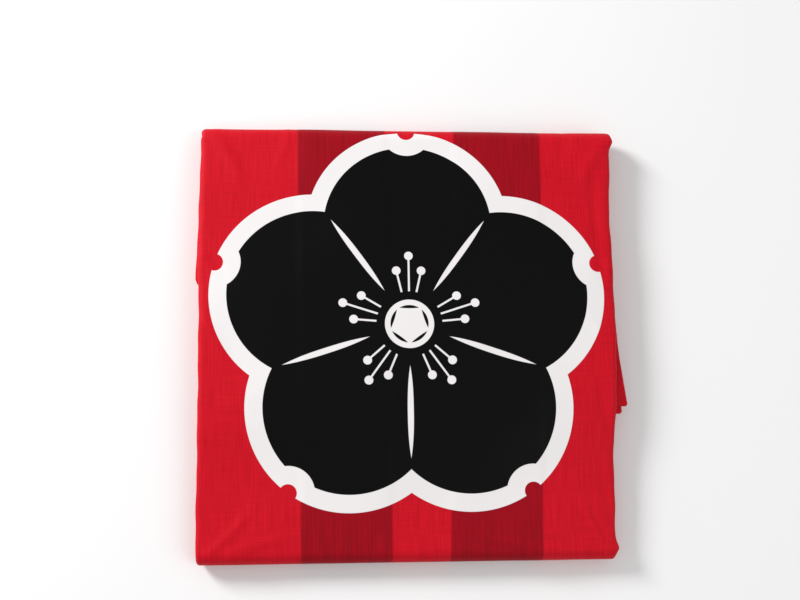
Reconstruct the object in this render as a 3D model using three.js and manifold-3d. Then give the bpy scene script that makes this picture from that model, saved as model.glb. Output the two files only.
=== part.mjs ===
// A happi coat folded flat, with its back on top.
//
// Both sides are rolled in, the neck and shoulders go under one end and the skirt goes under the other.
// The two folded-under parts meet on the underside at the shoulder line, so the packet is even and flat.
// The back is one cloth that runs from the shoulder line round the neck end, over the top, round the
// skirt end and back. The fronts and their collar bands lie straight under it, both sleeves end between
// the side rolls, and everything deeper in the packet is one rounded solid, layered at its edges.
//
// Millimetres, +Z up, +Y towards the neck end. The origin is the middle of the underside.

import * as THREE from "three";
import { mergeVertices } from "three/addons/utils/BufferGeometryUtils.js";
import Module from "manifold-3d";

const wasm = await Module();
wasm.setup();

// Driving sizes of the packet
const LENGTH = 253; // along Y, over both folded ends
const CLOTH = 1.2; // one wall of cloth
const GAP = 0.3; // between neighbouring pieces
const TURN_IN = 14; // how far a side roll's cloth runs on inside the packet
const CROWN = 1.3; // how far the middle of the top stands above its side rolls
const CROWN_FADE = 60; // the crown dies out over this length at each end
const SHOULDER_Y = 32; // the shoulder line, where the folded-under neck part ends
const SKIRT_CLEARANCE = 0.6; // between the shoulder line and the end of the folded-under skirt

// Steps of the meshes
const ROLL_STEPS = 5; // round a side roll
const END_STEPS = 8; // round a folded end
const ACROSS_STEPS = 12; // over the flat of the back
const TOP_STEPS = 20; // along the top run
const UNDER_STEPS = 4; // along each folded-under run
const NECKLINE_STEPS = 14; // round the neckline
const PLATE_ACROSS = 4; // across a front or a collar band
const PLATE_STEPS = 12; // along a front or a collar band
const SLEEVE_STEPS = 14; // along a sleeve

// Edges of the three runs of the back at places along the packet. The top run also has the packet's
// height and the height of its side rolls there.
const TOP_RUN = [
  { y: -126.5, left: -120.6, right: 113.4, height: 12.8, roll: 4.8 },
  { y: -85, left: -120.8, right: 113.8, height: 13.6, roll: 4.8 },
  { y: -45, left: -120.9, right: 116.8, height: 16.6, roll: 5.6 },
  { y: -10, left: -121.3, right: 118.7, height: 17.6, roll: 6.0 },
  { y: 30, left: -122.1, right: 119.3, height: 18.0, roll: 6.2 },
  { y: 70, left: -122.4, right: 119.3, height: 18.0, roll: 6.2 },
  { y: 105, left: -122.4, right: 121.2, height: 17.6, roll: 6.2 },
  { y: 126.5, left: -122.6, right: 124.0, height: 17.0, roll: 6.0 },
];
const NECK_RUN = [
  { y: 32, left: -124.8, right: 120.9 },
  { y: 80, left: -123.9, right: 122.0 },
  { y: 126.5, left: -122.6, right: 124.0 },
];
const SKIRT_RUN = [
  { y: -126.5, left: -120.6, right: 113.4 },
  { y: -70, left: -119.4, right: 112.6 },
  { y: 32, left: -120.8, right: 117.0 },
];
const UNDER_ROLL = 4.8; // height of the side rolls of the two folded-under runs

// Collar bands under the back: their edges at the skirt end and at the neck end
const COLLAR_BANDS = {
  collar_left: { skirtEnd: [-63.0, -12.5], neckEnd: [-65.7, -14.2] },
  collar_right: { skirtEnd: [19.8, 71.3], neckEnd: [26.7, 78.7] },
};

// The neckline's cut in the back, with the collar's neck part in it
const NECKLINE_HALF_WIDTH = 82;
const NECKLINE_DEPTH = 26;

// Cuff edges of the sleeves' two layers, as distances from the packet's middle
const RIGHT_CUFF = {
  upper: [
    { y: -40.6, reach: 124.8 },
    { y: -25, reach: 123.0 },
    { y: -8, reach: 121.2 },
    { y: 20, reach: 119.8 },
    { y: 32, reach: 118.4 },
    { y: 108, reach: 117.8 },
  ],
  lower: [
    { y: -44.7, reach: 121.6 },
    { y: -20, reach: 120.2 },
    { y: 20, reach: 118.2 },
    { y: 108, reach: 117.4 },
  ],
};
const LEFT_CUFF = {
  upper: [
    { y: -42.5, reach: 119.2 },
    { y: 108, reach: 120.2 },
  ],
  lower: [
    { y: -39.5, reach: 118.4 },
    { y: 108, reach: 119.4 },
  ],
};
const SLEEVE_CLOTH = 1.0;
const SLEEVE_INNER_X = 84; // the sleeves' modelled stretch ends here, inside the packet
const SLEEVE_JOIN = 2; // width of the seam that holds a sleeve's two layers together

// Hidden layers: how far they stay in from the packet's edge
const LAYER_INSET = { lower: 1.8, upper: 3.0, groove: 5.0 };
const LAYER_ROUNDING = 0.7;
const CORE_COLUMNS = 8; // over its top and underside
const CORE_STEPS = 7; // along each stretch between changes of its outline
const CORE_CHANGE = 0.2; // half the distance over which its outline changes
const CORE_SHOULDER = 1; // its side layers stop this far before the turns
const CORE_IN_TURN = [0.25, 0.6, 0.85]; // its last sections, as parts of the turn's inner radius
const CORE_SIDE_POINTS = 15; // up one side of its outline

// Depths below the cloth's outside, and the height of a sleeve's two layers
const FRONT_DEPTH = CLOTH + GAP;
const CORE_DEPTH = FRONT_DEPTH + CLOTH + GAP;
const SLEEVE_STACK = 2 * SLEEVE_CLOTH + GAP;
const SLEEVE_SLOT = [RIGHT_CUFF.lower[0].y - 1, RIGHT_CUFF.lower.at(-1).y + 1]; // along Y

const FINISH = {
  red: new THREE.MeshStandardMaterial({ color: 0xd81f2d, roughness: 0.62 }),
  deepRed: new THREE.MeshStandardMaterial({ color: 0xb8101f, roughness: 0.7 }),
  navy: new THREE.MeshStandardMaterial({ color: 0x1f2d5a, roughness: 0.7 }),
};

// A column of a table at any y: a smooth cubic through the rows.
function along(rows, column, y) {
  const last = rows.length - 1;
  const place = THREE.MathUtils.clamp(y, rows[0].y, rows[last].y);
  const i = Math.min(rows.findLastIndex((row) => row.y <= place), last - 1);
  const slope = (k) => {
    const before = rows[Math.max(k - 1, 0)];
    const after = rows[Math.min(k + 1, last)];
    return (after[column] - before[column]) / (after.y - before.y);
  };
  const step = rows[i + 1].y - rows[i].y;
  const t = (place - rows[i].y) / step;
  const rise = rows[i + 1][column] - rows[i][column];
  const a = slope(i) * step - rise;
  const b = -slope(i + 1) * step + rise;
  return rows[i][column] + t * rise + t * (1 - t) * (a * (1 - t) + b * t);
}

const lerp = THREE.MathUtils.lerp;
const steps = (count) => Array.from({ length: count + 1 }, (_, i) => i / count);

// A closed mesh from rings of equal length, each a closed outline that runs clockwise as seen along the
// loft, with both ends capped. capTriangles holds index triples in one ring, wound as the ring is.
function loft(rings, capTriangles) {
  const size = rings[0].length;
  const index = [];
  rings.slice(1).forEach((_, r) => {
    for (let i = 0; i < size; i++) {
      const a = r * size + i;
      const b = r * size + ((i + 1) % size);
      index.push(a, b, b + size, a, b + size, a + size);
    }
  });
  const end = (rings.length - 1) * size;
  capTriangles.forEach(([a, b, c]) => {
    index.push(a, c, b);
    index.push(a + end, b + end, c + end);
  });
  return new THREE.BufferGeometry()
    .setAttribute("position", new THREE.Float32BufferAttribute(rings.flat(2), 3))
    .setIndex(index);
}

// Cap triangles of a ring made of two rows of equal length, the second run backwards.
function ladderCap(rowLength) {
  const triangles = [];
  for (let i = 0; i < rowLength - 1; i++) {
    const opposite = 2 * rowLength - 1 - i;
    triangles.push([i, i + 1, opposite - 1], [i, opposite - 1, opposite]);
  }
  return triangles;
}

// To manifold-3d and back, for the boolean cut and join.
function solidFrom(geometry) {
  geometry.deleteAttribute("normal");
  geometry.deleteAttribute("uv");
  const merged = mergeVertices(geometry, 1e-4);
  const vertProperties = new Float32Array(merged.attributes.position.array);
  const triVerts = new Uint32Array(merged.index.array);
  return new wasm.Manifold(new wasm.Mesh({ numProp: 3, vertProperties, triVerts }));
}

function geometryFrom(solid) {
  const { vertProperties, triVerts } = solid.getMesh();
  return new THREE.BufferGeometry()
    .setAttribute("position", new THREE.Float32BufferAttribute(vertProperties, 3))
    .setIndex([...triVerts]);
}

// The folded ends: centre and radius of the half turn that the back makes there.
const endTurn = (side) => {
  const radius = along(TOP_RUN, "height", (side * LENGTH) / 2) / 2;
  return { side, radius, y: side * (LENGTH / 2 - radius) };
};
const NECK_END = endTurn(1);
const SKIRT_END = endTurn(-1);

// The top run reaches only from turn to turn, so the table's ends are drawn in to them.
const topHeight = (y) =>
  along(TOP_RUN, "height", (y * LENGTH) / 2 / (y > 0 ? NECK_END.y : -SKIRT_END.y));

// The crown of the top: full in the middle, nothing at the side rolls and at the folded ends.
function crown(x, y) {
  const left = along(TOP_RUN, "left", y) + along(TOP_RUN, "roll", y) / 2;
  const right = along(TOP_RUN, "right", y) - along(TOP_RUN, "roll", y) / 2;
  const across = THREE.MathUtils.clamp((2 * x - left - right) / (right - left), -1, 1);
  const toEnd = Math.min(NECK_END.y - y, y - SKIRT_END.y);
  return CROWN * (1 - across ** 2) * THREE.MathUtils.smoothstep(toEnd, 0, CROWN_FADE);
}

// The back

const rollHeight = (run, y) => (run === TOP_RUN ? along(run, "roll", y) : UNDER_ROLL);

// Sections of the back, from the shoulder line round to the folded-under skirt. Each holds the point on
// the outside and the outward direction in the YZ plane, and the cloth's edges and side rolls there.
function backSections() {
  const section = (run, y, z, outY, outZ) => ({
    y,
    z,
    outY,
    outZ,
    left: along(run, "left", y),
    right: along(run, "right", y),
    roll: rollHeight(run, y),
    onTop: run === TOP_RUN,
  });
  const turn = (end, firstRun, secondRun, firstAngle) =>
    steps(END_STEPS).map((t) => {
      const angle = firstAngle + Math.PI * t;
      const y = end.y + end.radius * Math.cos(angle);
      const z = end.radius * (1 + Math.sin(angle));
      const made = section(t < 0.5 ? firstRun : secondRun, y, z, Math.cos(angle), Math.sin(angle));
      made.roll = lerp(rollHeight(firstRun, end.y), rollHeight(secondRun, end.y), t);
      return made;
    });
  const neckUnder = steps(UNDER_STEPS).map((t) =>
    section(NECK_RUN, lerp(SHOULDER_Y, NECK_END.y, t), 0, 0, -1),
  );
  const top = steps(TOP_STEPS).map((t) => {
    const y = lerp(NECK_END.y, SKIRT_END.y, t);
    return section(TOP_RUN, y, topHeight(y), 0, 1);
  });
  const skirtUnder = steps(UNDER_STEPS + 1).map((t) =>
    section(SKIRT_RUN, lerp(SKIRT_END.y, SHOULDER_Y - SKIRT_CLEARANCE, t), 0, 0, -1),
  );
  return [
    ...neckUnder.slice(0, -1),
    ...turn(NECK_END, NECK_RUN, TOP_RUN, -Math.PI / 2),
    ...top.slice(1, -1),
    ...turn(SKIRT_END, TOP_RUN, SKIRT_RUN, Math.PI / 2),
    ...skirtUnder.slice(1),
  ];
}

// One face of the cloth in a section, as [x, depth] from one turned-in edge to the other.
// inset is 0 on the outside of the cloth and CLOTH on its inside.
function clothProfile({ left, right, roll, y, onTop }, inset) {
  const radius = roll / 2;
  const arc = (centre, side) =>
    steps(ROLL_STEPS).map((t) => {
      const angle = Math.PI * t;
      const x = centre + side * (radius - inset) * Math.sin(angle);
      return [x, radius + (radius - inset) * Math.cos(angle)];
    });
  const across = steps(ACROSS_STEPS)
    .slice(1, -1)
    .map((t) => {
      const x = lerp(left + radius, right - radius, t);
      return [x, inset - (onTop ? crown(x, y) : 0)];
    });
  return [
    [left + radius + TURN_IN, roll - inset],
    ...arc(left + radius, -1),
    ...across,
    ...arc(right - radius, 1).reverse(),
    [right - radius - TURN_IN, roll - inset],
  ];
}

function backGeometry() {
  const rings = backSections().map((section) => {
    const place = ([x, depth]) => [
      x,
      section.y - depth * section.outY,
      section.z - depth * section.outZ,
    ];
    const outside = clothProfile(section, 0).map(place);
    const inside = clothProfile(section, CLOTH).map(place);
    return [...inside, ...outside.reverse()];
  });
  return loft(rings, ladderCap(rings[0].length / 2));
}

// Half an ellipse on the shoulder line, smaller all round by inset and run on past the line by overrun.
function necklineGeometry({ inset, overrun, low, high }) {
  const shape = new THREE.Shape();
  const width = NECKLINE_HALF_WIDTH - inset;
  shape.moveTo(width, -overrun);
  shape.absellipse(0, 0, width, NECKLINE_DEPTH - inset, 0, Math.PI, false);
  shape.lineTo(-width, -overrun);
  shape.closePath();
  return new THREE.ExtrudeGeometry(shape, {
    depth: high - low,
    bevelEnabled: false,
    curveSegments: NECKLINE_STEPS,
  }).translate(0, SHOULDER_Y, low);
}

// Plates of cloth that lie between the back and the rest

// A plate over yRange, with its x limits as a function of y and its top as a function of x and y.
function plateGeometry({ yRange, xRange, top, thickness, across, alongSteps }) {
  const rings = steps(alongSteps).map((t) => {
    const y = lerp(yRange[0], yRange[1], t);
    const [x0, x1] = xRange(y);
    const row = steps(across).map((s) => {
      const x = lerp(x0, x1, s);
      return [x, y, top(x, y)];
    });
    const under = row.map(([x, , z]) => [x, y, z - thickness]);
    return [...row, ...under.reverse()];
  });
  return loft(rings, ladderCap(across + 1));
}

// Fronts and collar bands

const collarEdge = (band, side, y) =>
  THREE.MathUtils.mapLinear(y, SKIRT_END.y, NECK_END.y, band.skirtEnd[side], band.neckEnd[side]);

function underBackGeometry(xRange) {
  return plateGeometry({
    yRange: [SKIRT_END.y + 1, NECK_END.y - 1],
    xRange,
    top: (x, y) => topHeight(y) + crown(x, y) - FRONT_DEPTH,
    thickness: CLOTH,
    across: PLATE_ACROSS,
    alongSteps: PLATE_STEPS,
  });
}

const collarGeometry = (band) =>
  underBackGeometry((y) => [collarEdge(band, 0, y), collarEdge(band, 1, y)]);

const leftFrontGeometry = (band) =>
  underBackGeometry((y) => [
    along(TOP_RUN, "left", y) + along(TOP_RUN, "roll", y) / 2,
    collarEdge(band, 0, y) - GAP,
  ]);

const rightFrontGeometry = (band) =>
  underBackGeometry((y) => [
    collarEdge(band, 1, y) + GAP,
    along(TOP_RUN, "right", y) - along(TOP_RUN, "roll", y) / 2,
  ]);

// Sleeves

const sleeveTop = (y) => topHeight(y) - along(TOP_RUN, "roll", y) - GAP;

// The cuff end of a flattened sleeve: two layers of cloth, held together along their inner edge.
// side is 1 for the right sleeve and -1 for the left one.
function sleeveGeometry(side, cuff) {
  const layer = (rows, depth, thickness, reach) =>
    solidFrom(
      plateGeometry({
        yRange: [rows[0].y, rows.at(-1).y],
        xRange: (y) => [side * SLEEVE_INNER_X, side * reach(y)].sort((a, b) => a - b),
        top: (x, y) => sleeveTop(y) - depth,
        thickness,
        across: 1,
        alongSteps: SLEEVE_STEPS,
      }),
    );
  const cuffReach = (rows) => (y) => along(rows, "reach", y);
  const upper = layer(cuff.upper, 0, SLEEVE_CLOTH, cuffReach(cuff.upper));
  const lower = layer(cuff.lower, SLEEVE_CLOTH + GAP, SLEEVE_CLOTH, cuffReach(cuff.lower));
  const shorter = cuff.upper[0].y > cuff.lower[0].y ? cuff.upper : cuff.lower;
  const join = layer(shorter, 0, SLEEVE_STACK, () => SLEEVE_INNER_X + SLEEVE_JOIN);
  return geometryFrom(upper.add(lower).add(join));
}

// Hidden layers

// One side of the solid's outline at y, from the bottom up, as [distance from the middle, z].
// Between the side rolls it keeps clear of the turned-in edges of the back, and so it does in the turns.
function coreSide(side, y) {
  const column = side > 0 ? "right" : "left";
  const edge = side * along(TOP_RUN, column, y);
  const underEdge = side * along(SKIRT_RUN, column, y);
  const roll = along(TOP_RUN, "roll", y);
  const clear = roll / 2 + TURN_IN + 1;
  const between = Math.min(edge, underEdge) - clear;
  if (y > NECK_END.y || y < SKIRT_END.y) {
    const end = y > 0 ? NECK_END : SKIRT_END;
    const room = Math.sqrt((end.radius - FRONT_DEPTH) ** 2 - (y - end.y) ** 2);
    return steps(CORE_SIDE_POINTS - 1).map((t) => [between, end.radius + room * (2 * t - 1)]);
  }
  const sleeved = y > SLEEVE_SLOT[0] && y < SLEEVE_SLOT[1];
  const low = UNDER_ROLL + GAP;
  const high = topHeight(y) - roll - (sleeved ? 1 : 2) * GAP;
  const slotLow = high - (sleeved ? SLEEVE_STACK + GAP : GAP / 2);
  const middle = (low + slotLow) / 2;
  const nearEnd = Math.min(NECK_END.y - y, y - SKIRT_END.y) < CORE_SHOULDER;
  const reach = (inset) => (nearEnd ? between : edge - inset);
  const layer = (inset, from, to) => [
    [reach(inset + LAYER_ROUNDING), from],
    [reach(inset), lerp(from, to, 1 / 3)],
    [reach(inset), lerp(from, to, 2 / 3)],
    [reach(inset + LAYER_ROUNDING), to],
  ];
  const slotReach = sleeved ? SLEEVE_INNER_X - GAP : reach(LAYER_INSET.upper + LAYER_ROUNDING);
  return [
    [between, FRONT_DEPTH],
    [between, low],
    ...layer(LAYER_INSET.lower, low, middle - GAP / 2),
    [reach(LAYER_INSET.groove), middle],
    ...layer(LAYER_INSET.upper, middle + GAP / 2, slotLow),
    [slotReach, slotLow + GAP / 10],
    [slotReach, sleeved ? high + GAP : high],
    [between, sleeved ? high + GAP : high],
    [between, topHeight(y) - CORE_DEPTH],
  ];
}

// Places along the solid, from the skirt end to the neck end, close together where its outline changes.
function coreStations() {
  const changes = [SKIRT_END.y + CORE_SHOULDER, ...SLEEVE_SLOT, NECK_END.y - CORE_SHOULDER];
  const stretch = (from, to) =>
    steps(CORE_STEPS).map((t) => lerp(from + CORE_CHANGE, to - CORE_CHANGE, t));
  const inTurn = (end) =>
    CORE_IN_TURN.map((t) => end.y + end.side * t * (end.radius - FRONT_DEPTH));
  return [
    ...inTurn(SKIRT_END).reverse(),
    changes[0] - CORE_CHANGE,
    ...changes.slice(0, -1).flatMap((from, i) => stretch(from, changes[i + 1])),
    changes.at(-1) + CORE_CHANGE,
    ...inTurn(NECK_END),
  ];
}

function coreGeometry() {
  const columns = CORE_COLUMNS - 1;
  const rings = coreStations().map((y) => {
    const left = coreSide(-1, y).map(([reach, z]) => [-reach, y, z]);
    const right = coreSide(1, y).map(([reach, z]) => [reach, y, z]);
    const row = (from, to, rise) =>
      steps(CORE_COLUMNS)
        .slice(1, -1)
        .map((t) => {
          const x = lerp(from[0], to[0], t);
          return [x, y, from[2] + rise(x)];
        });
    const top = row(left.at(-1), right.at(-1), (x) => crown(x, y));
    const bottom = row(right[0], left[0], () => 0);
    return [...left, ...top, ...right.reverse(), ...bottom];
  });
  const above = (column) => CORE_SIDE_POINTS + column;
  const below = (column) => rings[0].length - 1 - column;
  const firstRight = CORE_SIDE_POINTS + columns;
  const cap = [
    [below(0), CORE_SIDE_POINTS - 1, above(0)],
    [below(columns - 1), above(columns - 1), firstRight],
  ];
  for (let i = 0; i < CORE_SIDE_POINTS - 1; i++) {
    cap.push([below(0), i, i + 1]);
    cap.push([below(columns - 1), firstRight + i, firstRight + i + 1]);
  }
  for (let column = 0; column < columns - 1; column++) {
    cap.push([below(column), above(column), above(column + 1)]);
    cap.push([below(column), above(column + 1), below(column + 1)]);
  }
  return loft(rings, cap);
}

// The coat

const neckline = { inset: 0, overrun: GAP, low: -CLOTH, high: CLOTH + GAP / 2 };
const backSolid = solidFrom(backGeometry()).subtract(solidFrom(necklineGeometry(neckline)));
const neckCollar = { inset: GAP, overrun: 0, low: 0, high: CLOTH };

const coat = new THREE.Group();
const addPiece = (name, geometry, material) => {
  const piece = new THREE.Mesh(geometry, material);
  piece.name = name;
  coat.add(piece);
};

addPiece("back_panel", geometryFrom(backSolid), FINISH.red);
addPiece("left_front", leftFrontGeometry(COLLAR_BANDS.collar_left), FINISH.red);
addPiece("right_front", rightFrontGeometry(COLLAR_BANDS.collar_right), FINISH.red);
Object.entries(COLLAR_BANDS).forEach(([name, band]) =>
  addPiece(name, collarGeometry(band), FINISH.navy),
);
addPiece("collar_neck", necklineGeometry(neckCollar), FINISH.navy);
addPiece("right_sleeve", sleeveGeometry(1, RIGHT_CUFF), FINISH.red);
addPiece("left_sleeve", sleeveGeometry(-1, LEFT_CUFF), FINISH.red);
addPiece("folded_layers", coreGeometry(), FINISH.deepRed);

export default coat;
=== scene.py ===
# %% [markdown]
# # A folded happi coat
# A happi is a light festival coat. This one is cut from thin red polyester with a navy collar, and it
# lies folded as a packet with its back on top, the way a new one is put away. The imported model holds the
# true sizes of the packet. Here every piece of cloth is cut flat as a grid, laid on those sizes in code,
# given its listed creases, and then painted: the weave, the collar that shows through, and the print.

import math

import bpy
import numpy as np
from mathutils import Euler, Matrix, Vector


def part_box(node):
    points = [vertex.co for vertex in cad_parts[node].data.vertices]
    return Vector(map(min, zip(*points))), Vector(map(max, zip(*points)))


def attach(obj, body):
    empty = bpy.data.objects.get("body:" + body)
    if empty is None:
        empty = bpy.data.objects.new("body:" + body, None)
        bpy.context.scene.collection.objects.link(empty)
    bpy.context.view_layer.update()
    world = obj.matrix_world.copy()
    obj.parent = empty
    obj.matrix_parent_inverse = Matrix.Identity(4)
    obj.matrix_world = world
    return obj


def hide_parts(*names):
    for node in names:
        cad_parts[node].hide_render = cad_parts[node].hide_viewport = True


MM = 0.001
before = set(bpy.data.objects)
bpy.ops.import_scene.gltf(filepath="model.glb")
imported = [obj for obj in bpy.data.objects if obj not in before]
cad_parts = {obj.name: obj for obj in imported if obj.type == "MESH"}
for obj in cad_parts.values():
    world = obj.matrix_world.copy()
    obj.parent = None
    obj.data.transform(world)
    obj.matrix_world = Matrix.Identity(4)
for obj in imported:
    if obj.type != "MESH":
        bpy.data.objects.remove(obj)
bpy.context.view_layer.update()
packet_low, packet_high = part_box("back_panel")
print("packet, mm:", [round(side / MM, 1) for side in packet_high - packet_low])

# %% [markdown]
# ## Camera
# The coat lies flat, so the camera looks down on it from a little in front and to the left. A mild
# telephoto lens keeps the packet's far edge nearly as wide as the near one.

# %% Camera
LENS = 52.35
CAMERA_PLACE = (-58.4 * MM, -129.6 * MM, 667 * MM)
CAMERA_TILT = (13.05, -4.34, -0.91)  # degrees about X, Y and Z

bpy.ops.object.camera_add(location=CAMERA_PLACE)
camera = bpy.context.object
camera.name = "camera"
camera.data.lens = LENS
camera.rotation_euler = Euler([math.radians(angle) for angle in CAMERA_TILT])
bpy.context.scene.camera = camera
bpy.context.scene.view_settings.view_transform = "Standard"

# %% [markdown]
# ## Floor and light
# A pale floor and two soft lamps, as for a catalogue picture. The low lamp at the left, behind the neck
# end, is the stronger one, so that the creases and the folded edge nearest the camera are shaded.


# %% Floor and lamps
def soft_lamp(name, place, aim, size, watts):
    bpy.ops.object.light_add(type="AREA", location=place)
    lamp = bpy.context.object
    lamp.name = name
    lamp.data.shape = "DISK"
    lamp.data.size = size
    lamp.data.energy = watts
    direction = np.array(aim) - np.array(place)
    lamp.rotation_euler = Euler(
        (math.acos(-direction[2] / np.linalg.norm(direction)), 0, math.atan2(-direction[0], direction[1]))
    )
    return lamp


FLOOR_GAP = 0.3  # the floor lies just below the packet, so the two faces never coincide
bpy.ops.mesh.primitive_plane_add(size=6, location=(0, 0, -FLOOR_GAP * MM))
floor = bpy.context.object
floor.name = "floor"
soft_lamp("key_lamp", (-1.1, 0.75, 0.75), (0, 0, 0), 0.5, 21)
soft_lamp("fill_lamp", (0.9, -0.5, 1.1), (0, 0, 0), 1.2, 5)

world = bpy.data.worlds.new("studio")
world.use_nodes = True
world.node_tree.nodes["Background"].inputs["Color"].default_value = (1, 1, 1, 1)
world.node_tree.nodes["Background"].inputs["Strength"].default_value = 0.5
bpy.context.scene.world = world

# %% [markdown]
# ## Sizes of the packet
# The back is one cloth. From the shoulder line it runs under the neck end, turns up round it, crosses
# the top, turns down round the skirt end and runs back under. These tables say where its side edges are
# on each run, how high the top is and how high the side rolls are. They are in millimetres, and a smooth
# curve joins their rows.

# %% Tables of the packet's shape
TOP_RUN = [
    {"y": -126.5, "left": -120.6, "right": 113.4, "height": 12.8, "roll": 4.8},
    {"y": -85, "left": -120.8, "right": 113.8, "height": 13.6, "roll": 4.8},
    {"y": -45, "left": -120.9, "right": 116.8, "height": 16.6, "roll": 5.6},
    {"y": -10, "left": -121.3, "right": 118.7, "height": 17.6, "roll": 6.0},
    {"y": 30, "left": -122.1, "right": 119.3, "height": 18.0, "roll": 6.2},
    {"y": 70, "left": -122.4, "right": 119.3, "height": 18.0, "roll": 6.2},
    {"y": 105, "left": -122.4, "right": 121.2, "height": 17.6, "roll": 6.2},
    {"y": 126.5, "left": -122.6, "right": 124.0, "height": 17.0, "roll": 6.0},
]
NECK_RUN = [
    {"y": 32, "left": -124.8, "right": 120.9},
    {"y": 80, "left": -123.9, "right": 122.0},
    {"y": 126.5, "left": -122.6, "right": 124.0},
]
SKIRT_RUN = [
    {"y": -126.5, "left": -120.6, "right": 113.4},
    {"y": -70, "left": -119.4, "right": 112.6},
    {"y": 32, "left": -120.8, "right": 117.0},
]
HALF_LENGTH = 126.5
UNDER_ROLL = 4.8
SHOULDER_Y = 32.0
SKIRT_STOP_Y = 31.4
NECKLINE = {"half_width": 82.0, "depth": 26.0}
CROWN = 1.3
CROWN_FADE = 60.0


def along(table, column, place):
    """A column of a table at any places, on a smooth cubic through the rows."""
    ys = np.array([row["y"] for row in table], float)
    values = np.array([row[column] for row in table], float)
    slopes = np.empty_like(values)
    slopes[1:-1] = (values[2:] - values[:-2]) / (ys[2:] - ys[:-2])
    slopes[0] = (values[1] - values[0]) / (ys[1] - ys[0])
    slopes[-1] = (values[-1] - values[-2]) / (ys[-1] - ys[-2])
    place = np.clip(np.asarray(place, float), ys[0], ys[-1])
    i = np.clip(np.searchsorted(ys, place, side="right") - 1, 0, len(ys) - 2)
    step = ys[i + 1] - ys[i]
    t = (place - ys[i]) / step
    rise = values[i + 1] - values[i]
    a = slopes[i] * step - rise
    b = rise - slopes[i + 1] * step
    return values[i] + t * rise + t * (1 - t) * (a * (1 - t) + b * t)


def smooth(value, low, high):
    """0 below low, 1 above high and a soft step between."""
    t = np.clip((np.asarray(value, float) - low) / (high - low), 0, 1)
    return t * t * (3 - 2 * t)


NECK_R = float(along(TOP_RUN, "height", HALF_LENGTH)) / 2
SKIRT_R = float(along(TOP_RUN, "height", -HALF_LENGTH)) / 2
NECK_Y = HALF_LENGTH - NECK_R
SKIRT_Y = SKIRT_R - HALF_LENGTH


def top_height(y):
    """Height of the side rolls' tops: the table is drawn in to reach from turn to turn."""
    y = np.asarray(y, float)
    return along(TOP_RUN, "height", y * HALF_LENGTH / np.where(y > 0, NECK_Y, -SKIRT_Y))


def crown(x, y):
    """How far the middle of the top stands above the side rolls."""
    left = along(TOP_RUN, "left", y) + along(TOP_RUN, "roll", y) / 2
    right = along(TOP_RUN, "right", y) - along(TOP_RUN, "roll", y) / 2
    across = np.clip((2 * x - left - right) / (right - left), -1, 1)
    return CROWN * (1 - across**2) * smooth(np.minimum(NECK_Y - y, y - SKIRT_Y), 0, CROWN_FADE)


print("turn radii, mm:", NECK_R, SKIRT_R)

# %% [markdown]
# ## Cutting cloth
# A grid primitive is the uncut cloth. Each of its points gets two places: one in the folded coat, and
# one in the flat cut, kept as a UV map in metres. The weave and the print are painted by that map, so
# they run round every fold as they do on real cloth. Solidify then gives the sheet its thickness.

# %% Cutting and finishing a cloth
CLOTH_MM = 0.45


def cut_cloth(name, columns, rows, lay):
    """A grid of columns by rows points, laid by lay(i, j), which gives x, y, z, u, v in millimetres."""
    bpy.ops.object.select_all(action="DESELECT")
    bpy.ops.mesh.primitive_grid_add(x_subdivisions=columns - 1, y_subdivisions=rows - 1, size=1)
    cloth = bpy.context.object
    cloth.name = name
    mesh = cloth.data
    grid = np.empty(len(mesh.vertices) * 3)
    mesh.vertices.foreach_get("co", grid)
    grid = grid.reshape(-1, 3) + 0.5
    i = np.rint(grid[:, 0] * (columns - 1)).astype(int)
    j = np.rint(grid[:, 1] * (rows - 1)).astype(int)
    x, y, z, u, v = lay(i, j)
    mesh.vertices.foreach_set("co", (np.column_stack([x, y, z]) * MM).ravel())
    corner = np.empty(len(mesh.loops), int)
    mesh.loops.foreach_get("vertex_index", corner)
    mesh.uv_layers[0].name = "cut"
    mesh.uv_layers[0].data.foreach_set("uv", (np.column_stack([u, v])[corner] * MM).ravel())
    mesh.update()
    return cloth


def edit(cloth, *operators):
    """Runs edit-mode operators on all of a cloth."""
    bpy.ops.object.select_all(action="DESELECT")
    bpy.context.view_layer.objects.active = cloth
    cloth.select_set(True)
    bpy.ops.object.mode_set(mode="EDIT")
    bpy.ops.mesh.select_all(action="SELECT")
    for operator in operators:
        operator()
    bpy.ops.object.mode_set(mode="OBJECT")


def thicken(cloth, thickness=CLOTH_MM):
    """Gives the cloth its wall, inwards from the face that shows, and smooth shading."""
    wall = cloth.modifiers.new("wall", "SOLIDIFY")
    wall.thickness = thickness * MM
    wall.offset = -1
    bpy.ops.object.select_all(action="DESELECT")
    bpy.context.view_layer.objects.active = cloth
    cloth.select_set(True)
    bpy.ops.object.modifier_apply(modifier=wall.name)
    bpy.ops.object.shade_smooth_by_angle(angle=math.radians(50))
    cloth.data.calc_loop_triangles()
    print(cloth.name, len(cloth.data.loop_triangles), "triangles")
    return cloth
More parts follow.
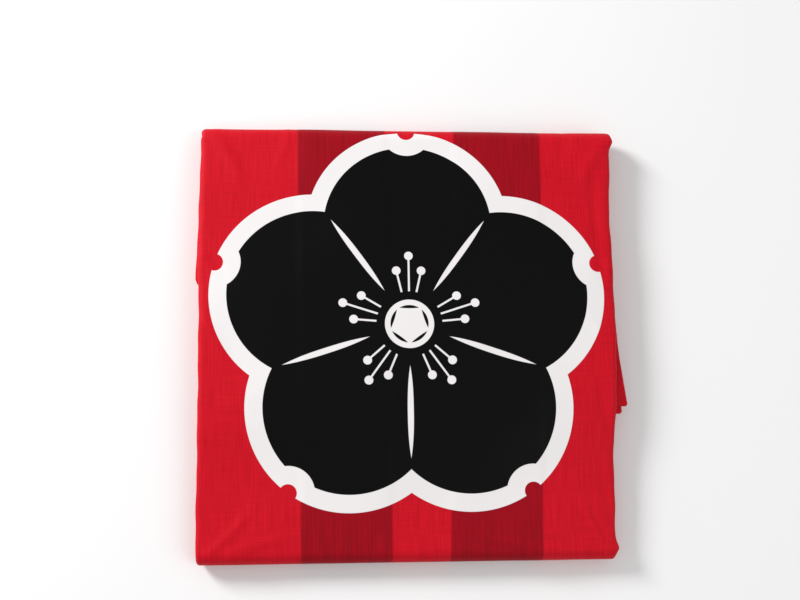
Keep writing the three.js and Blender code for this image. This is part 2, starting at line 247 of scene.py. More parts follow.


# %% [markdown]
# ## Creases
# Thin cloth pressed in a bag is smooth but never flat. Its creases are put in one by one: each row is one
# soft trough or ridge from one end to the other, with its width, its height and how far it bows aside.
# No two are alike. The collar under the back is two layers thicker, so its bands stand up a little, and
# a slow swell keeps the whole top from looking like a board.

# %% Creases of the top and of the underside
TOP_CREASES = [
    {"from": (-116, 121), "to": (-98, 84), "bow": 3, "width": 3.4, "rise": 0.42},
    {"from": (-121, 60), "to": (-101, 28), "bow": -2, "width": 2.6, "rise": -0.34},
    {"from": (-119, 12), "to": (-104, -22), "bow": 2, "width": 3.0, "rise": 0.30},
    {"from": (-118, -58), "to": (-92, -96), "bow": 4, "width": 3.6, "rise": -0.36},
    {"from": (-119, -124), "to": (-88, -92), "bow": -3, "width": 1.8, "rise": 0.55},
    {"from": (-112, -125), "to": (-58, -112), "bow": 3, "width": 2.6, "rise": 0.34},
    {"from": (-30, -124), "to": (-14, -98), "bow": -2, "width": 2.8, "rise": -0.26},
    {"from": (112, -124), "to": (18, -108), "bow": 3, "width": 1.9, "rise": 0.50},
    {"from": (113, -124), "to": (92, -86), "bow": 3, "width": 1.5, "rise": 0.62},
    {"from": (114, -125), "to": (99, -96), "bow": 2, "width": 1.2, "rise": -0.45},
    {"from": (113, -123), "to": (102, -72), "bow": -3, "width": 2.4, "rise": -0.42},
    {"from": (114, -60), "to": (106, -18), "bow": 2, "width": 2.6, "rise": -0.46},
    {"from": (115, -8), "to": (96, 16), "bow": -2, "width": 3.0, "rise": 0.34},
    {"from": (113, 30), "to": (111, 104), "bow": 2, "width": 2.2, "rise": -0.62},
    {"from": (119, 119), "to": (101, 84), "bow": -3, "width": 3.2, "rise": 0.44},
    {"from": (95, 124), "to": (84, 96), "bow": 2, "width": 2.8, "rise": -0.28},
    {"from": (-70, 124), "to": (-78, 100), "bow": 1, "width": 2.6, "rise": 0.24},
    {"from": (-100, -44), "to": (104, -47), "bow": 5, "width": 7.0, "rise": -0.30},
]
UNDER_CREASES = [
    {"from": (-112, 108), "to": (-84, 66), "bow": 4, "width": 3.4, "rise": -0.42},
    {"from": (104, 112), "to": (74, 84), "bow": -3, "width": 3.0, "rise": -0.36},
    {"from": (-20, 118), "to": (6, 76), "bow": 3, "width": 4.0, "rise": -0.30},
    {"from": (-108, -112), "to": (-66, -70), "bow": -4, "width": 3.6, "rise": -0.46},
    {"from": (102, -114), "to": (58, -84), "bow": 3, "width": 3.2, "rise": -0.38},
    {"from": (-96, 6), "to": (-30, -14), "bow": 5, "width": 4.2, "rise": -0.32},
    {"from": (24, -40), "to": (98, -18), "bow": -4, "width": 3.8, "rise": -0.34},
]
COLLAR_BANDS = [
    {"skirt": (-63.0, -12.5), "neck": (-65.7, -14.2)},
    {"skirt": (19.8, 71.3), "neck": (26.7, 78.7)},
]
COLLAR_RISE = 0.28
CREASE_STRENGTH = 1.5
SWELLS = [
    {"across": 96, "along": 140, "phase": 0.6, "rise": 0.26},
    {"across": -150, "along": 70, "phase": 2.1, "rise": 0.20},
    {"across": 52, "along": -88, "phase": 4.0, "rise": 0.12},
]


def creased(creases, x, y):
    """Height that a table of creases adds at x, y."""
    total = np.zeros(np.broadcast(x, y).shape)
    for crease in creases:
        start, end = np.array(crease["from"], float), np.array(crease["to"], float)
        length = np.linalg.norm(end - start)
        ahead = (end - start) / length
        s = ((x - start[0]) * ahead[0] + (y - start[1]) * ahead[1]) / length
        aside = (y - start[1]) * ahead[0] - (x - start[0]) * ahead[1]
        aside = aside - crease["bow"] * 4 * s * (1 - s)
        fade = smooth(s, -0.08, 0.25) * smooth(1.08 - s, 0, 0.5)
        total += crease["rise"] * fade * np.exp(-((aside / crease["width"]) ** 2))
    return total * CREASE_STRENGTH


def band_edge(band, side, y):
    t = (np.asarray(y, float) - SKIRT_Y) / (NECK_Y - SKIRT_Y)
    return band["skirt"][side] + t * (band["neck"][side] - band["skirt"][side])


def top_relief(x, y):
    """Everything that lifts the top of the back above its plain form."""
    total = crown(x, y) + creased(TOP_CREASES, x, y)
    for band in COLLAR_BANDS:
        inside = smooth(x - band_edge(band, 0, y), -1.2, 1.2) * smooth(band_edge(band, 1, y) - x, -1.2, 1.2)
        total = total + COLLAR_RISE * inside
    for swell in SWELLS:
        wave = 2 * math.pi * (x / swell["across"] + y / swell["along"]) + swell["phase"]
        total = total + swell["rise"] * np.sin(wave)
    return total


# %% [markdown]
# ## The back
# The grid's columns run from one turned-in edge, round the side roll, over the flat and round the other
# roll. Its rows follow the runs and turns. At the shoulder line the cloth is cut out for the neck and
# turned in, so the first and the last rows curl a little way back inside.

# %% Lay the back
TURN_IN = 14.0
EDGE_TURN_R = 0.6
ROLL_CLOSING = 0.75
NICKS = [
    {"y": 122.0, "side": "left", "length": 2.6, "out": -0.8},
    {"y": 119.5, "side": "right", "length": 3.2, "out": 1.1},
    {"y": 113.0, "side": "right", "length": 4.5, "out": -0.7},
    {"y": -60.0, "side": "right", "length": 14.0, "out": -0.5},
    {"y": -95.0, "side": "right", "length": 12.0, "out": 0.4},
    {"y": -120.5, "side": "right", "length": 3.4, "out": 1.6},
    {"y": 10.0, "side": "left", "length": 16.0, "out": -0.35},
]
COLUMN_PARTS = [
    ("left_turn_in", 5),
    ("left_roll", 11),
    ("flat", 112),
    ("right_roll", 11),
    ("right_turn_in", 5),
]
ROW_PARTS = [
    ("shoulder_edge", 7),
    ("neck_run", 32),
    ("neck_turn", 18),
    ("top_run", 124),
    ("skirt_turn", 16),
    ("skirt_run", 46),
    ("skirt_edge", 7),
]


def spread(parts):
    """The part that each of the grid's lines is in, and its share of the way across it, from 0 to 1."""
    names = np.concatenate([[name] * count for name, count in parts])
    shares = np.concatenate([(np.arange(count) + 0.5) / count for _, count in parts])
    return names, shares


COLUMN_NAMES, COLUMN_SHARES = spread(COLUMN_PARTS)
ROW_NAMES, ROW_SHARES = spread(ROW_PARTS)


def neckline(x):
    inside = np.clip(1 - (np.asarray(x, float) / NECKLINE["half_width"]) ** 2, 0, 1)
    return NECKLINE["depth"] * np.sqrt(inside)


def edge(run, side, y):
    """A side edge of the back, with its nicks and a slight unevenness."""
    value = along(run, side, y)
    sign = -1 if side == "left" else 1
    if run is TOP_RUN:
        for nick in NICKS:
            if nick["side"] == side:
                value = value + sign * nick["out"] * np.exp(-(((y - nick["y"]) / nick["length"]) ** 2))
    wobble = 0.16 * np.sin(y / 7.3 + sign) + 0.12 * np.sin(y / 3.1 + 2 * sign)
    if run is NECK_RUN:
        value = value - sign * 2.4 * np.clip(1 - (y - SHOULDER_Y) / 4.0, 0, 1) ** 2
    return value + wobble


def lay_back(i, j):
    row, share = ROW_NAMES[j], ROW_SHARES[j]
    column, part = COLUMN_NAMES[i], COLUMN_SHARES[i]
    on = {name: row == name for name, _ in ROW_PARTS}
    neck_side = on["shoulder_edge"] | on["neck_run"]
    skirt_side = on["skirt_edge"] | on["skirt_run"]

    # Where each row is: its base place along the packet and the direction that faces out there.
    y = np.zeros(len(i))
    y[on["top_run"]] = NECK_Y + (SKIRT_Y - NECK_Y) * share[on["top_run"]]
    y[on["neck_turn"]] = NECK_Y
    y[on["skirt_turn"]] = SKIRT_Y
    y[on["skirt_run"]] = SKIRT_Y + (SKIRT_STOP_Y - SKIRT_Y) * share[on["skirt_run"]]
    y[on["skirt_edge"]] = SKIRT_STOP_Y
    y[on["neck_run"]] = SHOULDER_Y + (NECK_Y - SHOULDER_Y) * share[on["neck_run"]]
    y[on["shoulder_edge"]] = SHOULDER_Y
    angle = np.full(len(i), math.pi / 2)
    angle[neck_side | skirt_side] = -math.pi / 2
    angle[on["neck_turn"]] = math.pi * (share[on["neck_turn"]] - 0.5)
    angle[on["skirt_turn"]] = math.pi * (share[on["skirt_turn"]] + 0.5)
    radius = np.where(on["neck_turn"], NECK_R, SKIRT_R)
    in_turn = on["neck_turn"] | on["skirt_turn"]
    edge_y = np.where(in_turn, y + radius * np.cos(angle), y)

    # The side edges and rolls of the row.
    upper = on["top_run"] | (on["neck_turn"] & (share > 0.5)) | (on["skirt_turn"] & (share < 0.5))
    left = np.where(upper, edge(TOP_RUN, "left", edge_y), 0)
    right = np.where(upper, edge(TOP_RUN, "right", edge_y), 0)
    lower_neck = ~upper & (neck_side | on["neck_turn"])
    lower_skirt = ~upper & (skirt_side | on["skirt_turn"])
    for run, rows in ((NECK_RUN, lower_neck), (SKIRT_RUN, lower_skirt)):
        left = np.where(rows, edge(run, "left", edge_y), left)
        right = np.where(rows, edge(run, "right", edge_y), right)
    top_roll = along(TOP_RUN, "roll", edge_y)
    roll = np.where(on["top_run"], top_roll, UNDER_ROLL)
    roll = np.where(on["neck_turn"], UNDER_ROLL + share * (top_roll - UNDER_ROLL), roll)
    roll = np.where(on["skirt_turn"], top_roll + share * (UNDER_ROLL - top_roll), roll)
    roll = roll + 0.25 * np.sin(edge_y / 11) * on["top_run"]
    r = roll / 2

    # The columns: over the flat, round the rolls and in.
    sign = np.where(np.char.startswith(column, "left"), -1.0, 1.0)
    roll_x = np.where(sign < 0, left + r, right - r)
    in_roll = np.char.endswith(column, "roll")
    in_turn_in = np.char.endswith(column, "turn_in")
    flat = column == "flat"
    outward = np.where(sign < 0, 1 - part, part)
    bend = math.pi * outward
    x = np.where(flat, left + r + part * (right - left - 2 * r), 0)
    x = np.where(in_roll, roll_x + sign * r * np.sin(bend), x)
    x = np.where(in_turn_in, roll_x - sign * TURN_IN * outward, x)
    depth = np.where(in_roll, r * (1 - np.cos(bend)), 0) + np.where(in_turn_in, 2 * r, 0)
    u = np.where(flat, x, 0)
    u = np.where(in_roll, roll_x + sign * r * bend, u)
    u = np.where(in_turn_in, roll_x + sign * (math.pi * r + TURN_IN * outward), u)

    # The neckline and the turned-in edges at the ends of the cloth.
    cut_out = np.where(flat, neckline(x), 0)
    toward_turn = np.where(on["neck_run"], 1 - share, np.where(on["shoulder_edge"], 1, 0))
    base_y = y + cut_out * toward_turn
    in_edge = on["shoulder_edge"] | on["skirt_edge"]
    curl = np.where(on["shoulder_edge"], 1 - share, share) * math.pi
    edge_sign = np.where(on["shoulder_edge"], -1.0, 1.0)
    edge_y_shift = EDGE_TURN_R * edge_sign * (np.sin(curl) - 1.6 * smooth(curl, math.pi / 2, math.pi))
    base_y = base_y + np.where(in_edge, edge_y_shift, 0)
    depth = np.where(in_edge & flat, EDGE_TURN_R * (1 - np.cos(curl)), depth)
    closing = ROLL_CLOSING * np.clip(curl / math.pi, 0, 1)
    depth = np.where(in_edge & ~flat, r + (depth - r) * (1 - closing), depth)
    x = np.where(in_edge & in_roll, roll_x + (x - roll_x) * (1 - closing), x)

    # Relief: full on the flat of each run, dying out round the rolls and the turns.
    at = np.where(flat, x, roll_x)
    over = np.where(flat, 1.0, np.where(in_roll, (1 + np.cos(bend)) / 2, 0))
    top_part = np.where(on["top_run"], 1.0, np.where(in_turn, np.clip(np.sin(angle), 0, 1), 0))
    relief = top_relief(at, np.where(in_turn, y, edge_y)) * top_part
    under = creased(UNDER_CREASES, at, base_y) * (on["neck_run"] | on["skirt_run"])
    depth = depth - (relief + under) * over

    height = np.where(on["top_run"], top_height(y), 0)
    place_y = np.where(in_turn, y + (radius - depth) * np.cos(angle), base_y)
    run_z = np.where(on["top_run"], height - depth, depth)
    place_z = np.where(in_turn, radius + (radius - depth) * np.sin(angle), run_z)

    # The flat cut: v is y on the top, and runs on round the turns.
    v = np.where(on["top_run"], y, 0)
    v = np.where(on["neck_turn"], NECK_Y + NECK_R * math.pi * (1 - share), v)
    v = np.where(neck_side, NECK_Y + NECK_R * math.pi + NECK_Y - base_y, v)
    v = np.where(on["skirt_turn"], SKIRT_Y - SKIRT_R * math.pi * share, v)
    v = np.where(skirt_side, SKIRT_Y - SKIRT_R * math.pi - (base_y - SKIRT_Y), v)
    return x, place_y, place_z, u, v


back = cut_cloth("back_cloth", len(COLUMN_NAMES), len(ROW_NAMES), lay_back)
edit(back, bpy.ops.mesh.flip_normals)
thicken(back)

# %% [markdown]
# ## Pressed layers
# Fronts, collar, sleeves and the folded passes of the skirt lie inside the packet. Each is cloth folded
# or sewn double and pressed, so it is modelled as one closed layer about a millimetre thick with round
# edges. The same grid serves: its columns go over the layer, round an edge, back under and round the
# other edge, and merging the doubles closes it. Towards its ends the layer thins away in a round lip.

# %% Pressing a layer
LAYER_PARTS = [("over", 40), ("right_lip", 7), ("under", 40), ("left_lip", 7)]


def press_layer(name, rows, y_range, x_range, height, thickness, lip=0.9, parts=LAYER_PARTS):
    """A closed layer between two side lines, all given as functions: x_range(y), height(x, y) of its top."""
    names, shares = spread(parts)
    names, shares = np.append(names, names[0]), np.append(shares, shares[0])

    def lay(i, j):
        column, share = names[i], shares[i]
        start, end = y_range
        t = j / (rows - 1)
        y = start + (end - start) * (1 - np.cos(math.pi * t)) / 2 * 0.35 + (end - start) * t * 0.65
        to_end = np.minimum(y - start, end - y)
        fill = np.sqrt(np.clip(1 - (1 - np.clip(to_end / lip, 0, 1)) ** 2, 0, 1))
        left, right = x_range(y)
        left, right = left + lip * (1 - fill), right - lip * (1 - fill)
        half = thickness(y) / 2
        bend = share * math.pi
        x = np.where(column == "over", left + half + share * (right - left - 2 * half), 0)
        x = np.where(column == "under", right - half - share * (right - left - 2 * half), x)
        x = np.where(column == "right_lip", right - half + half * np.sin(bend), x)
        x = np.where(column == "left_lip", left + half - half * np.sin(bend), x)
        side = np.where(column == "over", 1.0, np.where(column == "under", -1.0, 0))
        side = np.where(column == "right_lip", np.cos(bend), side)
        side = np.where(column == "left_lip", -np.cos(bend), side)
        z = height(x, y) - half + side * half * fill
        return x, y, z, x + np.where(side < 0, 0.13, 0), y

    layer = cut_cloth(name, len(names), rows, lay)
    edit(
        layer,
        lambda: bpy.ops.mesh.remove_doubles(threshold=0.00001),
        lambda: bpy.ops.mesh.normals_make_consistent(inside=False),
    )
    bpy.ops.object.shade_smooth_by_angle(angle=math.radians(60))
    layer.data.calc_loop_triangles()
    print(name, len(layer.data.loop_triangles), "triangles")
    return layer


# %% [markdown]
# ## Fronts and collar bands
# Under the back lie the two fronts, and between them the two runs of the collar. All of them follow the
# plain form of the packet's top just below the back, without its creases. The collar lies a little higher.

# %% Fronts and collar bands
BACK_TO_LAYER = 1.65
HIDDEN_THICKNESS = 0.9


def under_back(x, y):
    return top_height(y) + crown(x, y) - BACK_TO_LAYER


SEAM_GAP = 0.4
FRONT_ENDS = (-117.5, 115.5)
ROLL_LEGS = 19.5
left_front = press_layer(
    "left_front_cloth",
    90,
    FRONT_ENDS,
    lambda y: (along(TOP_RUN, "left", y) + ROLL_LEGS, band_edge(COLLAR_BANDS[0], 0, y) - SEAM_GAP),
    under_back,
    lambda y: HIDDEN_THICKNESS,
)
right_front = press_layer(
    "right_front_cloth",
    90,
    FRONT_ENDS,
    lambda y: (band_edge(COLLAR_BANDS[1], 1, y) + SEAM_GAP, along(TOP_RUN, "right", y) - ROLL_LEGS),
    under_back,
    lambda y: HIDDEN_THICKNESS,
)
collar_bands = []
for side, band in zip(("left", "right"), COLLAR_BANDS):
    piece = press_layer(
        f"collar_band_{side}",
        90,
        FRONT_ENDS,
        lambda y, band=band: (band_edge(band, 0, y), band_edge(band, 1, y)),
        lambda x, y: under_back(x, y) + 0.2,
        lambda y: HIDDEN_THICKNESS + 0.3,
    )
    collar_bands.append(piece)

# %% [markdown]
# ## Neck of the collar
# On the underside the neckline is open, and the collar's neck part shows in it. It is the same navy
# band, stitched to the back along the curve. The grid goes over it and back under, open at some edges.

# %% Neck of the collar
NECK_BAND = {"inset": 0.5, "thickness": 1.0, "top": 1.15, "from_seam": 0.35, "columns": 90, "rows": 26}


def lay_neck_band(i, j):
    across = i / (NECK_BAND["columns"] - 1)
    x = (NECKLINE["half_width"] - NECK_BAND["inset"]) * -np.cos(math.pi * across)
    deep = np.maximum(neckline(x) - NECK_BAND["inset"], 0.02)
    ring = j / (NECK_BAND["rows"] - 1)
    over = ring < 0.5
    t = np.where(over, ring * 2, 2 - 2 * ring)
    seam = NECK_BAND["from_seam"]
    y = SHOULDER_Y + seam + (deep - seam) * np.clip(t, 0, 1)
    edge_gap = np.minimum(np.minimum(y - SHOULDER_Y - seam, SHOULDER_Y + deep - y), 1.0)
    fill = np.sqrt(np.clip(1 - (1 - edge_gap) ** 2, 0, 1))
    z = NECK_BAND["top"] - NECK_BAND["thickness"] / 2 * (1 + np.where(over, -1, 1) * fill)
    return x, y, z, x, SHOULDER_Y + deep - y


neck_band = cut_cloth("collar_neck_band", NECK_BAND["columns"], NECK_BAND["rows"], lay_neck_band)
edit(
    neck_band,
    lambda: bpy.ops.mesh.remove_doubles(threshold=0.00001),
    lambda: bpy.ops.mesh.normals_make_consistent(inside=False),
)
bpy.ops.object.shade_smooth_by_angle(angle=math.radians(60))

# %% [markdown]
# ## Sleeves
# The sleeves are folded in over the skirt. Their cuffs reach the packet's sides, and at the right one
# corner sticks out from under the side roll: two layers of a hemmed cuff, the lower a little further back.

# %% Sleeves
RIGHT_CUFF_UPPER = [
    {"y": -40.6, "reach": 124.8},
    {"y": -25, "reach": 123.0},
    {"y": -8, "reach": 121.2},
    {"y": 20, "reach": 119.8},
    {"y": 32, "reach": 118.4},
    {"y": 108, "reach": 117.8},
]
RIGHT_CUFF_LOWER = [
    {"y": -44.7, "reach": 121.6},
    {"y": -20, "reach": 120.2},
    {"y": 20, "reach": 118.2},
    {"y": 108, "reach": 117.4},
]
LEFT_CUFF_UPPER = [{"y": -42.5, "reach": 119.2}, {"y": 30, "reach": 119.8}, {"y": 108, "reach": 120.2}]
LEFT_CUFF_LOWER = [{"y": -39.5, "reach": 118.4}, {"y": 30, "reach": 119.0}, {"y": 108, "reach": 119.4}]
SLEEVE_INNER_X = 84
SLEEVE_LAYER = 1.0
SLEEVE_GAP = 0.15
CUFF_PARTS = [("over", 26), ("right_lip", 9), ("under", 26), ("left_lip", 7)]


def sleeve_top(drop):
    return lambda x, y: top_height(y) - along(TOP_RUN, "roll", y) - 0.35 - drop + 0.05 * np.sin(y / 9 + drop)


def cuff_range(table, sign):
    def x_range(y):
        reach = along(table, "reach", y)
        inner = np.full_like(reach, SLEEVE_INNER_X)
        return (inner, reach) if sign > 0 else (-reach, -inner)

    return x_range


sleeves = {}
for side, sign, tables in (
    ("right", 1, (RIGHT_CUFF_UPPER, RIGHT_CUFF_LOWER)),
    ("left", -1, (LEFT_CUFF_UPPER, LEFT_CUFF_LOWER)),
):
    layers = []
    for number, table in enumerate(tables):
        drop = number * (SLEEVE_LAYER + SLEEVE_GAP)
        layer = press_layer(
            f"{side}_sleeve_cuff_{number}",
            80,
            (table[0]["y"], table[-1]["y"]),
            cuff_range(table, sign),
            sleeve_top(drop),
            lambda y: SLEEVE_LAYER,
            lip=1.1,
            parts=CUFF_PARTS,
        )
        layers.append(layer)
    sleeves[side] = layers

# %% [markdown]
# ## Inner layers
# Between the back's upper and lower runs lie the folded passes of the skirt, the fronts and the sleeves.
# Only their edges can be seen, between the side rolls, as thin plies that don't quite line up.

# %% Inner layers
PLIES = 3
PLY_FLOOR = UNDER_ROLL + 0.35
PLY_CEILING = 8.15
PLY_STEP = 0.95
PLY_GAP = 0.06
PLY_EDGES = [
    {"left": 1.9, "right": 2.0, "swing": 0.5, "pace": 23},
    {"left": 2.9, "right": 2.3, "swing": 0.8, "pace": 31},
    {"left": 2.2, "right": 3.1, "swing": 0.6, "pace": 17},
]


def ply_share(y):
    top = np.minimum(top_height(y) - along(TOP_RUN, "roll", y) - 0.45, PLY_CEILING)
    return (top - PLY_FLOOR) / PLIES


def ply_reach(height, radius):
    return math.sqrt(max((radius - 2.2) ** 2 - (height - radius) ** 2, 0.5))


inner_layers = []
for number, margins in enumerate(PLY_EDGES):
    middle = PLY_FLOOR + (number + 0.5) * PLY_STEP

    def ply_sides(y, number=number, margins=margins):
        lower = number / PLIES
        skirt_y = np.minimum(y, SHOULDER_Y)
        left = (1 - lower) * along(SKIRT_RUN, "left", skirt_y) + lower * along(TOP_RUN, "left", y)
        right = (1 - lower) * along(SKIRT_RUN, "right", skirt_y) + lower * along(TOP_RUN, "right", y)
        swing = margins["swing"] * np.sin(y / margins["pace"] + number * 2)
        return left + margins["left"] + swing, right - margins["right"] + swing

    inner_layers.append(
        press_layer(
            f"inner_ply_{number}",
            100,
            (SKIRT_Y - ply_reach(middle, SKIRT_R), NECK_Y + ply_reach(middle, NECK_R)),
            ply_sides,
            lambda x, y, number=number: PLY_FLOOR + (number + 1) * ply_share(y),
            lambda y: ply_share(y) - PLY_GAP,
            lip=1.6,
        )
    )

# %% [markdown]
# ## Joining layers
# The two layers of each cuff, and the plies, are one piece each, as they are in the coat.


# %% Join
def join(name, pieces):
    bpy.ops.object.select_all(action="DESELECT")
    for piece in pieces:
        piece.select_set(True)
    bpy.context.view_layer.objects.active = pieces[0]
    bpy.ops.object.join()
    pieces[0].name = name
    return pieces[0]


right_sleeve = join("right_sleeve_cuff", sleeves["right"])
left_sleeve = join("left_sleeve_cuff", sleeves["left"])
inner = join("inner_layers", inner_layers)

# %% [markdown]
# ## Shader maths
# A print or a weave is a formula on the cloth's flat cut. This class lets it be written as plain maths:
# each operator adds a Math node, and one method adds any other node.


# %% Sockets that can be calculated with
class Socket:
    """A node's output in a material."""

    def __init__(self, tree, socket=None):
        self.tree = tree
        self.socket = socket

    def node(self, kind, settings, values, output=0):
        """Adds a node of a kind, makes its settings and fills its sockets with values or links."""
        node = self.tree.nodes.new(kind)
        for key, setting in settings.items():
            setattr(node, key, setting)
        for key, value in values.items():
            if isinstance(value, Socket):
                self.tree.links.new(value.socket, node.inputs[key])
            else:
                node.inputs[key].default_value = value
        return Socket(self.tree, node.outputs[output])

    def math(self, operation, *others):
        return self.node("ShaderNodeMath", {"operation": operation}, dict(enumerate((self, *others))))

    def __add__(self, other):
        return self.math("ADD", other)

    def __sub__(self, other):
        return self.math("SUBTRACT", other)

    def __rsub__(self, other):
        return self.math("MULTIPLY_ADD", -1, other)

    def __mul__(self, other):
        return self.math("MULTIPLY", other)

    def __truediv__(self, other):
        return self.math("DIVIDE", other)

    __radd__ = __add__
    __rmul__ = __mul__

    def step(self, low, high):
        """0 below low, 1 above high, soft between; the other way round where low is above high."""
        values = {"Value": self, "From Min": low, "From Max": high}
        return self.node("ShaderNodeMapRange", {"interpolation_type": "SMOOTHSTEP"}, values)

    def mix(self, first, second):
        """A colour between two, by this factor."""
        return self.node("ShaderNodeMix", {"data_type": "RGBA"}, {0: self, 6: first, 7: second}, 2)

    def vector(self, x, y, z=0):
        return self.node("ShaderNodeCombineXYZ", {}, {"X": x, "Y": y, "Z": z})

    def noise(self, x, y, detail=2.0):
        """Soft noise of about one lump for each unit of x and y."""
        values = {"Vector": self.vector(x, y), "Scale": 1.0, "Detail": detail}
        return self.node("ShaderNodeTexNoise", {"noise_dimensions": "2D"}, values)


# %% Starting and finishing a cloth's material
def start_material(name):
    """A new material, with its flat cut's u and v in millimetres."""
    material = bpy.data.materials.new(name)
    material.use_nodes = True
    tree = material.node_tree
    tree.nodes.clear()
    start = Socket(tree)
    uv = start.node("ShaderNodeUVMap", {"uv_map": "cut"}, {})
    u = uv.node("ShaderNodeSeparateXYZ", {}, {"Vector": uv}, "X") / MM
    v = uv.node("ShaderNodeSeparateXYZ", {}, {"Vector": uv}, "Y") / MM
    return material, u, v


def finish_material(material, u, colour, roughness, height, distance, **constants):
    """Joins colour, roughness and a bump in millimetres to a cloth's shader."""
    normal = u.node("ShaderNodeBump", {}, {"Height": height, "Strength": 1.0, "Distance": distance * MM})
    values = {"Base Color": colour, "Roughness": roughness, "Normal": normal}
    shader = u.node("ShaderNodeBsdfPrincipled", {}, {**values, **constants})
    output = material.node_tree.nodes.new("ShaderNodeOutputMaterial")
    material.node_tree.links.new(shader.socket, output.inputs["Surface"])
    return material


# %% [markdown]
# ## Weave
# The coat is a fine plain weave of polyester thread. Two crossed waves make the threads, and long thin
# noise makes some of them thicker and darker, which is what the eye sees of so fine a cloth.

# %% Weave
THREAD = 0.34
BUMP_MM = 0.03


def weave(u, v):
    """The cloth's height, from 0 to 1, and an uneven tone about 0.5 along its threads."""
    warp = (u * (2 * math.pi / THREAD)).math("SINE")
    weft = (v * (2 * math.pi / THREAD)).math("SINE")
    slub_warp = u.noise(u * 1.9, v * 0.045)
    slub_weft = u.noise(u * 0.05 + 31.7, v * 2.1)
    height = warp * weft * 0.5 + slub_warp * 0.9 + slub_weft * 0.5
    tone = slub_warp * 0.65 + slub_weft * 0.35
    return height, tone


CLOTH_CONSTANTS = {
    "Sheen Weight": 0.015,
    "Sheen Roughness": 0.4,
    "Specular IOR Level": 0.1,
}
RED = (0.64, 0.005, 0.018, 1)
RED_DEEP = (0.52, 0.002, 0.011, 1)
RED_THROUGH = (0.36, 0.0008, 0.009, 1)
RED_THROUGH_DEEP = (0.27, 0.001, 0.007, 1)
NAVY = (0.018, 0.030, 0.110, 1)
NAVY_DEEP = (0.011, 0.018, 0.075, 1)

# %% [markdown]
# ## Plain red and navy
# The hidden red pieces and the cuffs have the plain cloth. The collar is the same cloth in navy. Its neck
# part has a row of stitches two millimetres from the neckline. On the two hidden runs v is the place
# along the coat, so there the same row falls across the band.

# %% Plain cloths
plain_material, u, v = start_material("red_cloth")
height, tone = weave(u, v)
finish_material(
    plain_material,
    u,
    tone.step(0.3, 0.7).mix(RED_DEEP, RED),
    tone * 0.14 + 0.5,
    height,
    BUMP_MM,
    **CLOTH_CONSTANTS,
)

navy_material, u, v = start_material("navy_cloth")
height, tone = weave(u, v)
STITCH = {"from_edge": 2.0, "half_width": 0.22, "pitch": 2.8}
stitch_off = (v - STITCH["from_edge"]).math("ABSOLUTE")
stitch_line = stitch_off.step(STITCH["half_width"], STITCH["half_width"] * 0.5)
stitch_gap = (u * (2 * math.pi / STITCH["pitch"])).math("SINE").step(-0.75, -0.55)
stitches = stitch_line * stitch_gap
colour = tone.step(0.3, 0.7).mix(NAVY_DEEP, NAVY)
finish_material(
    navy_material,
    u,
    (stitches * 0.6).mix(colour, (0.05, 0.07, 0.19, 1)),
    tone * 0.14 + 0.5,
    height + stitches * 4,
    BUMP_MM,
    **CLOTH_CONSTANTS,
)

# %% [markdown]
# ## Print
# A large emblem is printed on the back: a black plum blossom of five petals with a white border, white
# slits between the petals and white stamens. It is worked out from circles and straight lines in the
# cloth's flat cut. Folding the angle into a fifth of a turn draws all five petals at once.

# %% Print
CENTRE = {"u": -1.6, "v": 6.3}
PETAL = {"at": 58.0, "radius": 49.0}
NOTCH = {"at": 117.0, "radius": 15.0}
BORDER = 10.0
SLIT = {"from": 24.0, "to": 76.0, "half_width": 1.7}
STAMENS = {"from": 19.0, "to": 40.0, "half_width": 0.55, "dot": 2.5, "spread": 13.0}
RING = {"radius": 12.5, "half_width": 1.6}
SHARP = 0.12


def print_masks(u, v):
    """Masks of the whole print and of its black."""
    x = u - CENTRE["u"]
    y = v - CENTRE["v"]
    r = (x * x + y * y).math("SQRT")
    fifth = 2 * math.pi / 5
    angle = x.math("ARCTAN2", y)
    folded = (angle + fifth / 2).math("FLOORED_MODULO", fifth) - fifth / 2
    aside = (folded.math("SINE") * r).math("ABSOLUTE")
    ahead = folded.math("COSINE") * r

    def from_circle(at, radius, side=0.0):
        dx = aside - side
        dy = ahead - at
        return (dx * dx + dy * dy).math("SQRT") - radius

    petal = from_circle(PETAL["at"], PETAL["radius"])
    notch = from_circle(NOTCH["at"], NOTCH["radius"])
    black_shape = petal.math("MAXIMUM", notch * -1)
    whole = black_shape.step(BORDER + SHARP, BORDER - SHARP)
    # The slit runs out along the line between two petals, and tapers to both of its ends.
    half = fifth / 2
    slit_ahead = aside * math.sin(half) + ahead * math.cos(half)
    slit_aside = (aside * math.cos(half) - ahead * math.sin(half)).math("ABSOLUTE")
    middle = (SLIT["from"] + SLIT["to"]) / 2
    reach = (SLIT["to"] - SLIT["from"]) / 2
    taper = ((slit_ahead - middle) / reach).math("ABSOLUTE").math("POWER", 2.5) * -SLIT["half_width"]
    slit = (slit_aside - SLIT["half_width"] - taper).step(SHARP, -SHARP)
    # One stamen stands in the middle of a petal and one on each side of it, each with a dot.
    lean = math.radians(STAMENS["spread"])
    ring_off = (r - RING["radius"]).math("ABSOLUTE")
    ring = ring_off.step(RING["half_width"] + SHARP, RING["half_width"] - SHARP)
    marks = slit.math("MAXIMUM", ring)
    for turn, share in ((0.0, 1.0), (lean, 0.8)):
        end = STAMENS["to"] * share
        line_ahead = aside * math.sin(turn) + ahead * math.cos(turn)
        line_aside = (aside * math.cos(turn) - ahead * math.sin(turn)).math("ABSOLUTE")
        begun = line_ahead.step(STAMENS["from"] - SHARP, STAMENS["from"] + SHARP)
        inside = begun * line_ahead.step(end, end - SHARP)
        line = line_aside.step(STAMENS["half_width"] + SHARP, STAMENS["half_width"] - SHARP) * inside
        dot = from_circle(end * math.cos(turn), STAMENS["dot"], end * math.sin(turn)).step(SHARP, -SHARP)
        marks = marks.math("MAXIMUM", line).math("MAXIMUM", dot)
    black = black_shape.step(SHARP, -SHARP) * (1 - marks)
    return whole, black


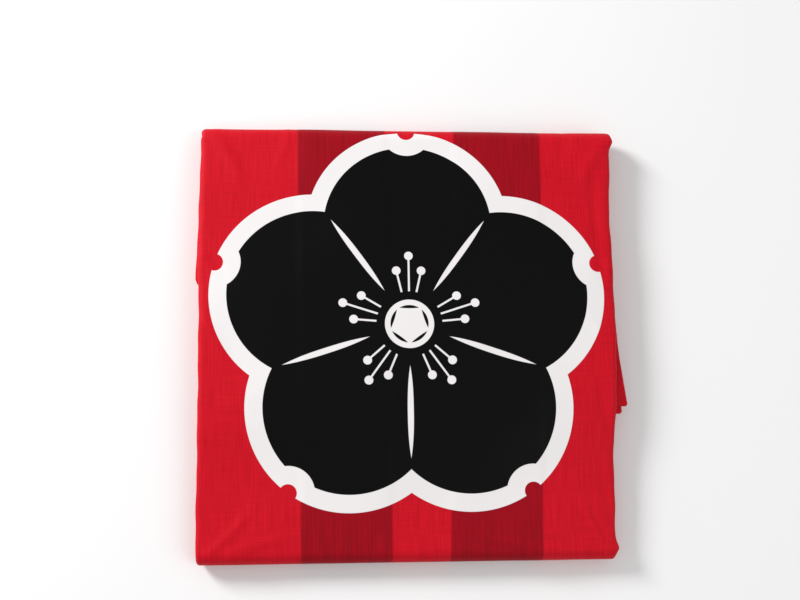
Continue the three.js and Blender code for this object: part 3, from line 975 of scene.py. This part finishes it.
# %% [markdown]
# ## Back cloth
# The red of the back is darker where the navy collar lies beneath it. The print is a thin layer of ink:
# it hides the collar, fills the weave and is a little smoother than the cloth.

# %% Paint the back
back_material, u, v = start_material("red_cloth_printed")
height, tone = weave(u, v)
through = None
for band in COLLAR_BANDS:
    slopes = [(band["neck"][side] - band["skirt"][side]) / (NECK_Y - SKIRT_Y) for side in (0, 1)]
    starts = [band["skirt"][side] - slopes[side] * SKIRT_Y for side in (0, 1)]
    left_of = (u - v * slopes[0] - starts[0]).step(-0.7, 0.7)
    right_of = (v * slopes[1] + starts[1] - u).step(-0.7, 0.7)
    inside = left_of * right_of
    through = inside if through is None else through.math("MAXIMUM", inside)
streaks = tone.step(0.3, 0.7)
cloth_red = streaks.mix(RED_DEEP, RED)
through_red = u.noise(u * 1.3, v * 0.03).step(0.25, 0.75).mix(RED_THROUGH_DEEP, RED_THROUGH)
cloth_colour = through.mix(cloth_red, through_red)
whole, black = print_masks(u, v)
ink = black.mix((0.83, 0.80, 0.80, 1), (0.001, 0.001, 0.0013, 1))
finish_material(
    back_material,
    u,
    whole.mix(cloth_colour, ink),
    (tone * 0.14 + 0.5) * (1 - whole) + whole * (tone * 0.1 + 0.4),
    height * (1 - whole * 0.7) + whole * 2.5,
    BUMP_MM,
    **CLOTH_CONSTANTS,
)

# %% [markdown]
# ## Finish
# Every piece gets its material, rides on the one body and stands for its solid, and its area of one side is
# printed beside the size of cloth it was cut from.

# %% Materials, bodies and cuts
PIECES = [
    {"piece": back, "material": back_material, "node": "back_panel", "flat": (0.289, 0.52)},
    {"piece": left_front, "material": plain_material, "node": "left_front", "flat": (0.038, 0.233)},
    {"piece": right_front, "material": plain_material, "node": "right_front", "flat": (0.024, 0.233)},
    {"piece": collar_bands[0], "material": navy_material, "node": "collar_left", "flat": (0.052, 0.233)},
    {"piece": collar_bands[1], "material": navy_material, "node": "collar_right", "flat": (0.052, 0.233)},
    {"piece": neck_band, "material": navy_material, "node": "collar_neck", "flat": (0.163, 0.026)},
    {"piece": right_sleeve, "material": plain_material, "node": "right_sleeve", "flat": (0.072, 0.150)},
    {"piece": left_sleeve, "material": plain_material, "node": "left_sleeve", "flat": (0.071, 0.149)},
    {"piece": inner, "material": plain_material, "node": "folded_layers", "flat": (0.72, 0.245)},
]
for row in PIECES:
    piece = row["piece"]
    piece.data.materials.clear()
    piece.data.materials.append(row["material"])
    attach(piece, "root")
    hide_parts(row["node"])
    "navy_cloth" if row["material"] == navy_material else "red_cloth"
    area = sum(face.area for face in piece.data.polygons) / 2
    print(piece.name, "one side, m2:", round(area, 4), "flat:", row["flat"])

floor_material = bpy.data.materials.new("pale_floor")
floor_material.use_nodes = True
paint = floor_material.node_tree.nodes["Principled BSDF"]
paint.inputs["Base Color"].default_value = (0.9, 0.9, 0.9, 1)
paint.inputs["Roughness"].default_value = 0.8
floor.data.materials.append(floor_material)
